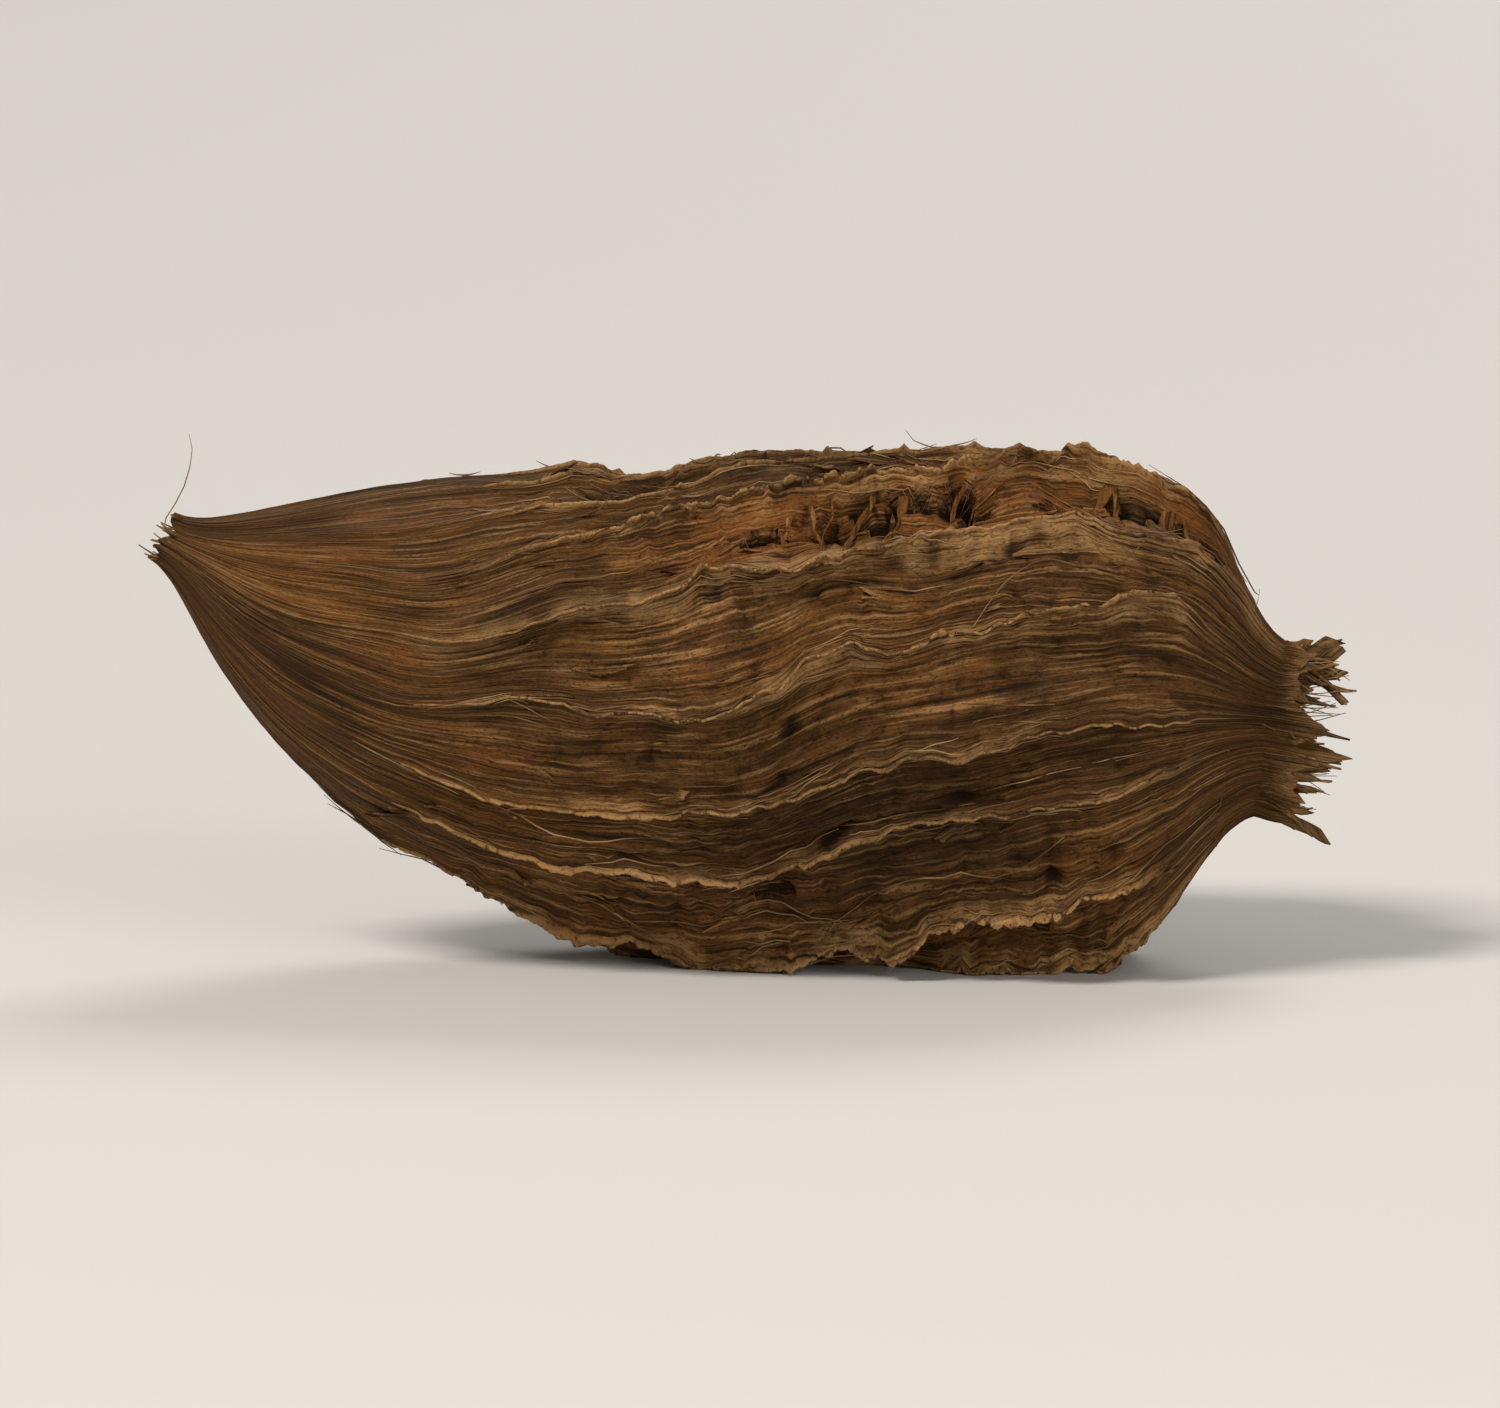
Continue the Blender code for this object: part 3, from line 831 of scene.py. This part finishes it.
def edge_places(number):
    """One wing's crest in even steps: the skin there, how tall its torn edge is, and how far that leans."""
    frayed = random.Random(100 + number)
    places = []
    for step in range(EDGE_STEPS + 1):
        section = section_at(EDGE_FROM + (EDGE_TO - EDGE_FROM) * step / EDGE_STEPS)
        share = section["share"]
        spot = skin_point(section, number)
        grain = grain_point(share, number)
        torn = EDGE_EVEN
        for weight, size, layer in EDGE_TEARS:
            torn += weight * abs(ragged(grain, number, size, layer))
        torn *= EDGE_RUN_MEAN + crinkled(grain, number, EDGE_RUNS)
        torn += crinkled(grain, number, EDGE_TEETH) + frayed.uniform(-EDGE_FRAY, EDGE_FRAY)
        ends = eased(share, EDGE_FROM, EDGE_FROM + STALK_FADE)
        ends *= eased(EDGE_TO - share, 0.0, CROWN_FADE)
        tall = min(1.0, section["heights"][number] / MM) * WHOLE_CRESTS.get(number, 1.0)
        if number == 0:
            tall *= smooth(FRONT_STAND, share) ** 2
        places.append({
            "spot": spot,
            "share": share,
            "number": number,
            "rust_and_painted_light": rust_and_painted_light_at(share, number),
            "along": section["ahead"].cross(spot["outwards"]).normalized(),
            "ends": ends,
            "height": EDGE_TALL * tall * max(EDGE_LEAST, torn) / (1.0 + EDGE_LIMIT * max(0.0, torn)),
            "bend": crinkled(grain, number, EDGE_BENDS),
            "crimp": crinkled(grain, number, EDGE_CRIMPS),
        })
    return places


def edge_shape(places, across, up):
    place = places[round(across * EDGE_STEPS)]
    spot = place["spot"]
    out = (EDGE_ROOT + (EDGE_FOOT + place["height"]) * place["ends"]) * up - EDGE_FOOT
    bend = (place["bend"] * up + place["crimp"] * math.sin(math.pi * up)) * place["height"] * up
    point = spot["point"] + (spot["outwards"] * out + place["along"] * bend) * MM + settled
    worn = (EDGE_WORN + EDGE_TIP_WORN * up) * place["ends"]
    grain = grain_point(place["share"], place["number"], spot["rise"] + place["height"] * up)
    # Painted shade at the edge's foot
    return point, worn, EDGE_FOOT_PAINTED_SHADE * (1.0 - up), place["rust_and_painted_light"], grain


wing_edges = papery_piece("wing_edges", [edge_places(number) for number in range(WINGS)], edge_shape,
                          EDGE_STEPS, EDGE_ROWS, EDGE_THICK)

# The lifted flakes
# Scraps of the outer skin that have cracked and curled away as it dried, each still held at one end.

FLAKE_COUNT = 170
FLAKE_ALONG = (0.24, 0.95)
FLAKE_LENGTH, FLAKE_WIDTH = (0.5, 1.7), (0.12, 0.40)
FLAKE_LIFT, FLAKE_CURL = (0.05, 0.26), (-0.20, 0.20)
FLAKE_WORN, FLAKE_DARK = (0.15, 0.6), 0.1
FLAKE_UNEVEN, FLAKE_FRAY = 0.7, 0.3
FLAKE_ROOT = 0.09
FLAKE_LAST = 0.985
FLAKE_THICK = 0.04 * MM

draws = random.Random(67)
flakes = []
for number in range(FLAKE_COUNT):
    flakes.append({
        "number": number,
        "share": draws.uniform(*FLAKE_ALONG),
        "around": draws.uniform(0, WINGS),
        "length": draws.choice((-1.0, 1.0)) * draws.uniform(*FLAKE_LENGTH),
        "width": draws.uniform(*FLAKE_WIDTH),
        "lift": draws.uniform(*FLAKE_LIFT),
        "curl": draws.uniform(*FLAKE_CURL),
        "worn": draws.uniform(*FLAKE_WORN),
    })


def flake_shape(flake, across, up):
    side = across - 0.5
    narrow = math.sin(math.pi * (0.12 + 0.80 * up))
    narrow *= 1.0 + FLAKE_UNEVEN * noise_at(flake["number"] * 3.7, up * 3.0, side)
    fray = FLAKE_FRAY * noise_at(flake["number"] * 5.9, side * 5.0, 1.0)
    share = min(FLAKE_LAST, flake["share"] + flake["length"] * up * (1.0 + fray) * MM / HUSK_LENGTH)
    around = flake["around"] + flake["width"] * side * narrow * WINGS_PER_MM
    spot = skin_point(section_at(share), around)
    lift = flake["lift"] * up ** 1.6 + flake["curl"] * side * up - FLAKE_ROOT * (1.0 - up)
    grain = grain_point(share, around, spot["rise"])
    return off_skin(spot, lift), flake["worn"] * up, FLAKE_DARK, rust_and_painted_light_at(share, around), grain


skin_flakes = papery_piece("skin_flakes", flakes, flake_shape, 3, 5, FLAKE_THICK)

# The strands across the hollows
# Where the skin behind the front wing has torn into holes, strips of it still cross them from wing to wing.
# Each is given as its share of the length, how far it slants, and its width in millimetres.

STRANDS = (
    (0.560, -0.010, 0.14), (0.590, 0.016, 0.08), (0.600, -0.008, 0.06), (0.632, -0.020, 0.14),
    (0.666, -0.010, 0.24), (0.684, 0.018, 0.07), (0.717, -0.018, 0.14), (0.757, -0.016, 0.40),
    (0.782, 0.020, 0.26), (0.834, -0.022, 0.24), (0.849, 0.012, 0.10), (0.889, -0.024, 0.30),
    (0.910, 0.018, 0.08), (0.950, -0.014, 0.20),
)
STRAND_FROM, STRAND_ACROSS = 0.10, 0.80
STRAND_WAIST, STRAND_ENDS, STRAND_UNEVEN, STRAND_WAVER = 0.6, 0.7, 0.8, 0.18
STRAND_SAG, STRAND_SAG_MIDDLE, STRAND_SAG_ENDS = 0.10, 0.22, 0.25
STRAND_TWIST = 1.6
STRAND_RELIEF = 0.3
STRAND_WORN, STRAND_EDGE_WORN, STRAND_DARK, STRAND_RUST = 0.15, 0.1, 0.1, 0.7
STRAND_GRAIN, STRAND_GRAIN_ROW = 2.6, 20.0
STRAND_THICK = 0.06 * MM


def strand_shape(strand, across, up):
    share, slant, width = strand
    around = WINGS - 1.0 + STRAND_FROM + STRAND_ACROSS * up
    from_middle = abs(2.0 * up - 1.0)
    waist = STRAND_WAIST + STRAND_ENDS * from_middle
    waist += STRAND_UNEVEN * noise_at(share * 90.0, up * 3.0, 4.0)
    waver = STRAND_WAVER * noise_at(share * 70.0, up * 2.2, 8.0)
    at = share + slant * (up - 0.5) + (width * waist * (across - 0.5) + waver) * MM / HUSK_LENGTH
    spot = skin_point(section_at(at), around, STRAND_RELIEF)
    sag = STRAND_SAG + STRAND_SAG_MIDDLE * math.sin(math.pi * up) + STRAND_SAG_ENDS * from_middle ** 6
    twist = STRAND_TWIST * noise_at(share * 50.0, up * 1.6, 2.0)
    lift = spot["sunk"] / MM - sag + width * twist * (across - 0.5)
    worn = STRAND_WORN + STRAND_EDGE_WORN * across
    grain = (up * STRAND_GRAIN, at * HUSK_LENGTH / MM, STRAND_GRAIN_ROW)
    return off_skin(spot, lift), worn, STRAND_DARK, STRAND_RUST, grain


hollow_strands = papery_piece("hollow_strands", STRANDS, strand_shape, 4, 16, STRAND_THICK)

# Loose fibres
# Strands of the husk's own fibre that have come away along the wings and down the valleys, thin and stiff,
# pale where they have dried in the air. Each runs along the grain with its ends lifted off the skin.

FIBRE_PALE = (0.300, 0.190, 0.085, 1.0)
FIBRE_BROWN = (0.110, 0.052, 0.019, 1.0)


def fibre_piece(name, strands, thickness, sides=0):
    """One mesh of thin round strands. A strand is a list of (point, share of the thickness)."""
    curve = bpy.data.curves.new(name, "CURVE")
    curve.dimensions = "3D"
    curve.bevel_depth = thickness / 2
    curve.bevel_resolution = sides
    curve.use_fill_caps = True
    for strand in strands:
        spline = curve.splines.new("POLY")
        spline.points.add(len(strand) - 1)
        for knot, (point, share) in zip(spline.points, strand):
            knot.co = (point.x, point.y, max(thickness, point.z), 1.0)
            knot.radius = share
    piece = bpy.data.objects.new(name, curve)
    bpy.context.scene.collection.objects.link(piece)
    bpy.ops.object.select_all(action="DESELECT")
    piece.select_set(True)
    bpy.context.view_layer.objects.active = piece
    bpy.ops.object.convert(target="MESH")
    face_outwards(join_within=0.001 * MM)
    piece.data.materials.append(dry_fibre)
    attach(piece, "root")
    return piece


def bent_strand(root, way, bend, thinner, parts):
    """A strand that sets out one way from its root, bends, and is thinner at its tip."""
    return [(root + way * part + bend * part ** 2 + settled, 1.0 - thinner * part) for part in parts]


dry_fibre, fibre_shader = new_material("Dry fibre")
place = dry_fibre.node_tree.nodes.new("ShaderNodeTexCoord").outputs["Object"]
fibre = grain_layers(dry_fibre, place)
fibre_colour = painted(dry_fibre, FIBRE_BROWN, (
    (noise_node(dry_fibre, place, Scale=420.0, Detail=2.0), ((0.42, 0.0), (0.64, 1.0)), FIBRE_PALE),
    (fibre["Specks"], ((0.45, 0.0), (0.75, 0.7)), HUSK_MID),
))
dry_fibre.node_tree.links.new(fibre_colour, fibre_shader.inputs["Base Color"])
fibre_shader.inputs["Roughness"].default_value = 0.7
fibre_shader.inputs["Specular IOR Level"].default_value = 0.2

FIBRE_COUNT = 420
FIBRE_KNOTS = 9
FIBRE_ALONG = (0.18, 0.93)
FIBRE_THICK = 0.045 * MM
FIBRE_ON_CREST, FIBRE_STRAY = 0.65, 0.04
FIBRE_LENGTH = (0.8, 3.8)
FIBRE_DRIFT = (-0.16, 0.16)
FIBRE_ENDS_UP = (0.04, 0.20)
FIBRE_CLEAR = 0.015
FIBRE_LAST = 0.97

draws = random.Random(41)
strands = []
for _ in range(FIBRE_COUNT):
    share = draws.uniform(*FIBRE_ALONG)
    number = draws.randrange(WINGS)
    on_crest = draws.random() < FIBRE_ON_CREST
    around = number + (draws.gauss(0.0, FIBRE_STRAY) if on_crest else draws.uniform(-0.5, 0.5))
    length = draws.uniform(*FIBRE_LENGTH) * MM
    drift = draws.uniform(*FIBRE_DRIFT)
    lifts = (max(0.0, draws.gauss(*FIBRE_ENDS_UP)), max(0.0, draws.gauss(*FIBRE_ENDS_UP)))
    strand = []
    for knot in range(FIBRE_KNOTS):
        part = knot / (FIBRE_KNOTS - 1)
        at = min(FIBRE_LAST, share + length / HUSK_LENGTH * part)
        spot = skin_point(section_at(at), around + drift * part)
        lift = FIBRE_CLEAR + lifts[0] * (1.0 - part) ** 3 + lifts[1] * part ** 3
        strand.append((off_skin(spot, lift), 0.3 + 0.7 * math.sin(math.pi * part)))
    strands.append(strand)
loose_fibres = fibre_piece("loose_fibres", strands, FIBRE_THICK)

# The flower crown's shreds
# What is left of the papery flower tube: strips of it stand round the neck's rim, split along their fibres,
# with curled and frayed tips, and bare fibres stand among them.

SHRED_COUNT = 44
SHRED_INSIDE = (0.0, 2.2)
SHRED_ROOT = 0.35 * MM
SHRED_LENGTH, SHRED_WITH_CROWN, SHRED_UNEVEN = 0.35, 0.80, (0.45, 1.05)
SHRED_WIDTH, SHRED_SPREAD, SHRED_ROLL, SHRED_TURN = (0.10, 0.50), (-0.30, 0.42), (-0.9, 0.9), (-0.5, 0.5)
SHRED_SPLIT, SHRED_FRAY, SHRED_WAVE = 0.45, 0.35, 0.10
SHRED_WORN, SHRED_TIP_WORN, SHRED_RUST = 0.15, 0.5, 0.3
# Painted shade at the shreds' feet and on those standing further inside the crown
SHRED_FOOT_PAINTED_SHADE, SHRED_INSIDE_PAINTED_SHADE = 0.4, 0.25
SHRED_THICK = 0.055 * MM

draws = random.Random(17)
shreds = []
for number in range(SHRED_COUNT):
    around = WINGS * (number + draws.uniform(-0.35, 0.35)) / SHRED_COUNT
    base = skin_point(neck, around, NECK_RELIEF)["point"]
    inside = draws.uniform(*SHRED_INSIDE)
    out = (base - neck["centre"]).normalized()
    length = (SHRED_LENGTH + SHRED_WITH_CROWN * drawn_value("crown", around)) * draws.uniform(*SHRED_UNEVEN)
    shreds.append({
        "number": number,
        "root": base - out * (CROWN_WALL * (0.3 + inside)) - neck["ahead"] * SHRED_ROOT,
        "out": out,
        "along": neck["ahead"].cross(out).normalized(),
        "length": length * CROWN_LENGTH / MM,
        "width": draws.uniform(*SHRED_WIDTH),
        "spread": draws.uniform(*SHRED_SPREAD),
        "roll": draws.uniform(*SHRED_ROLL),
        "turn": draws.uniform(*SHRED_TURN),
        "dark": SHRED_INSIDE_PAINTED_SHADE * min(1.0, inside),
    })


def shred_shape(shred, across, up):
    side, number = 2.0 * across - 1.0, shred["number"]
    length, width = shred["length"], shred["width"]
    narrow = (1.0 - up ** 2.2) * (1.0 + SHRED_SPLIT * noise_at(number * 4.3, up * 5.0, side))
    fray = SHRED_FRAY * noise_at(number * 7.7, side * 2.6, 3.0)
    curl = shred["spread"] * up * up + SHRED_WAVE * math.sin(6.0 * up + number) * up
    ahead = length * (up + fray * up * up)
    out = length * curl - shred["roll"] * width * side * side * 0.5
    along = width * side * narrow + shred["turn"] * length * up * up * 0.4
    offset = neck["ahead"] * ahead + shred["out"] * out + shred["along"] * along
    # Painted shade
    dark = SHRED_FOOT_PAINTED_SHADE * (1.0 - up) + shred["dark"]
    grain = (28.0 + 3.0 * up, number * 1.7 + side * 0.4, 0.0)
    return shred["root"] + offset * MM + settled, SHRED_WORN + SHRED_TIP_WORN * up, dark, SHRED_RUST, grain


crown_shreds = papery_piece("crown_shreds", shreds, shred_shape, 4, 12, SHRED_THICK)

TUFT_COUNT = 70
TUFT_SPREAD = (0.35, 0.98)
TUFT_ROOT = 0.7 * MM
TUFT_LENGTH = (0.9, 2.7)
TUFT_SPLAY, TUFT_SWAY = (-0.25, 0.25), (-0.35, 0.35)
TUFT_THICK = 0.06 * MM

draws = random.Random(23)
strands = []
for _ in range(TUFT_COUNT):
    around, spread = draws.uniform(0, WINGS), draws.uniform(*TUFT_SPREAD)
    base = skin_point(neck, around, 0.0)["point"]
    out = (base - neck["centre"]).normalized()
    root = neck["centre"] + (base - neck["centre"]) * spread - neck["ahead"] * TUFT_ROOT
    length = draws.uniform(*TUFT_LENGTH) * MM
    splay, sway = draws.uniform(*TUFT_SPLAY), draws.uniform(*TUFT_SWAY)
    along = neck["ahead"].cross(out)
    bend = (out * splay + along * sway) * length
    strands.append(bent_strand(root, neck["ahead"] * length, bend, 0.7, (0.0, 0.25, 0.5, 0.75, 1.0)))
crown_fibres = fibre_piece("crown_fibres", strands, TUFT_THICK)

# The stalk scar's fibres
# The stalk tore away here, and the ends of its fibre bundles stand out of the scar like a worn brush.

BUNDLE_COUNT = 46
BUNDLE_REACH = (0.3, 0.85)
BUNDLE_ROOT = 0.5 * MM
BUNDLE_WITHIN = 0.92
BUNDLE_SPLAY, BUNDLE_BEND = (-0.1, 0.25), 0.2
BUNDLE_THICK = 0.075 * MM

draws = random.Random(29)
strands = []
for _ in range(BUNDLE_COUNT):
    around = draws.uniform(0, WINGS)
    spread = math.sqrt(draws.uniform(0.02, 1.0))
    rim = scar_edge(around)
    root = stalk_end["centre"] + (rim - stalk_end["centre"]) * spread * BUNDLE_WITHIN
    root += stalk_end["ahead"] * BUNDLE_ROOT
    reach = draws.uniform(*BUNDLE_REACH) * MM
    out = (rim - stalk_end["centre"]).normalized() * draws.uniform(*BUNDLE_SPLAY)
    bend = Vector((draws.uniform(-1, 1), draws.uniform(-1, 1), draws.uniform(-1, 1))) * BUNDLE_BEND
    way = (out - stalk_end["ahead"]) * reach
    strands.append(bent_strand(root, way, bend * reach, 0.5, (0.0, 0.3, 0.6, 0.85, 1.0)))
scar_fibres = fibre_piece("scar_fibres", strands, BUNDLE_THICK, sides=1)

# Stray hairs
# A few long hairs of stalk fibre: one curls up from the stalk end, and the others lie along the husk.

HAIR_THICK = 0.045 * MM
HAIR_COUNT = 9
HAIR_KNOTS = 15
HAIR_ALONG = (0.12, 0.75)
HAIR_LENGTH = (3.5, 8.0)
HAIR_DRIFT = (-1.1, 1.1)
HAIR_LOOPS, HAIR_LOOP_WIDTH = (0.6, 1.6), 0.2
HAIR_CLEAR, HAIR_ARCH, HAIR_END_UP = 0.05, 0.30, 0.35
HAIR_LAST = 0.96

# The curled one's knots, as millimetres from the stalk end and a share of its thickness
CURLED_HAIR = (
    (0.35, -0.20, -0.10, 0.8), (-0.10, -0.35, 0.30, 1.0), (-0.02, -0.45, 0.62, 1.0), (0.22, -0.55, 1.00, 1.0),
    (0.45, -0.60, 1.45, 0.9), (0.60, -0.60, 1.95, 0.8), (0.66, -0.55, 2.40, 0.6), (0.58, -0.50, 2.80, 0.4),
)

stalk_tip = stalk_end["centre"] + settled
strands = [[(stalk_tip + Vector((x, y, z)) * MM, share) for x, y, z, share in CURLED_HAIR]]
draws = random.Random(53)
for _ in range(HAIR_COUNT):
    share, around = draws.uniform(*HAIR_ALONG), draws.uniform(0, WINGS)
    length, drift = draws.uniform(*HAIR_LENGTH) * MM, draws.uniform(*HAIR_DRIFT)
    loops, phase = draws.uniform(*HAIR_LOOPS), draws.uniform(0, math.tau)
    strand = []
    for knot in range(HAIR_KNOTS):
        part = knot / (HAIR_KNOTS - 1)
        at = min(HAIR_LAST, share + length / HUSK_LENGTH * part)
        swing = HAIR_LOOP_WIDTH * math.sin(math.tau * loops * part + phase)
        spot = skin_point(section_at(at), around + drift * part + swing)
        arch = math.sin(math.pi * part)
        lift = HAIR_CLEAR + HAIR_ARCH * arch ** 2 + HAIR_END_UP * part ** 4
        strand.append((off_skin(spot, lift), 0.5 + 0.5 * arch))
    strands.append(strand)
stray_hairs = fibre_piece("stray_hairs", strands, HAIR_THICK)

# The floor
# A plain pale board with a soft matte face, just under the pod. It isn't part of the object.

FLOOR_PALE = (0.615, 0.60, 0.577, 1.0)
FLOOR_SIZE = 6.0
FLOOR_BELOW = 0.02 * MM

bpy.ops.object.select_all(action="DESELECT")
bpy.ops.mesh.primitive_plane_add(size=FLOOR_SIZE, location=(0, 0, -FLOOR_BELOW))
floor = bpy.context.object
floor.name = "floor"
bpy.ops.object.transform_apply(location=True, rotation=False, scale=False)
pale_board, board_shader = new_material("Pale board")
board_shader.inputs["Base Color"].default_value = FLOOR_PALE
board_shader.inputs["Roughness"].default_value = 0.85
floor.data.materials.append(pale_board)

# The light
# A large soft lamp above and to the left, as in the photograph, a weak one from the front right that opens
# the shaded side, and one from behind that picks out the wings' edges. The air gives an even pale light.

AIR_TINT = (0.92, 0.89, 0.85, 1.0)
AIR_STRENGTH = 0.26

# Each lamp's name, place in metres, width in metres, watts and colour
LAMPS = (
    ("key_light", (-0.30, -0.30, 0.48), 0.18, 3.4, (1.0, 0.95, 0.88)),
    ("fill_light", (0.30, -0.46, 0.10), 0.40, 2.2, (1.0, 0.97, 0.92)),
    ("edge_light", (0.18, 0.45, 0.38), 0.25, 1.6, (1.0, 0.97, 0.93)),
)
pod_middle = Vector((0, 0, cad_high.z / 2))
for name, place, size, watts, tint in LAMPS:
    lamp = bpy.data.lights.new(name, "AREA")
    lamp.size = size
    lamp.energy = watts
    lamp.color = tint
    holder = bpy.data.objects.new(name, lamp)
    bpy.context.scene.collection.objects.link(holder)
    holder.location = place
    holder.rotation_euler = (pod_middle - Vector(place)).to_track_quat("-Z", "Y").to_euler()

air = bpy.data.worlds.new("Pale air")
bpy.context.scene.world = air
air.use_nodes = True
glow = air.node_tree.nodes["Background"]
glow.inputs["Color"].default_value = AIR_TINT
glow.inputs["Strength"].default_value = AIR_STRENGTH
bpy.context.scene.view_settings.view_transform = "Standard"

# The camera
# It looks along +Y from a long way off and from 7 degrees above the level, as in the photograph.

CAMERA_ELEVATION = math.radians(7)
CAMERA_DISTANCE = 0.50
SHARE_OF_WIDTH = 0.80

camera = bpy.data.cameras.new("camera")
camera.lens = camera.sensor_width * CAMERA_DISTANCE * SHARE_OF_WIDTH / (cad_high.x - cad_low.x)
camera.clip_start = 0.01
camera.clip_end = 10.0
stand = bpy.data.objects.new("camera", camera)
bpy.context.scene.collection.objects.link(stand)
away = Vector((0, -math.cos(CAMERA_ELEVATION), math.sin(CAMERA_ELEVATION)))
stand.location = pod_middle + away * CAMERA_DISTANCE
stand.rotation_euler = (-away).to_track_quat("-Z", "Y").to_euler()
bpy.context.scene.camera = stand
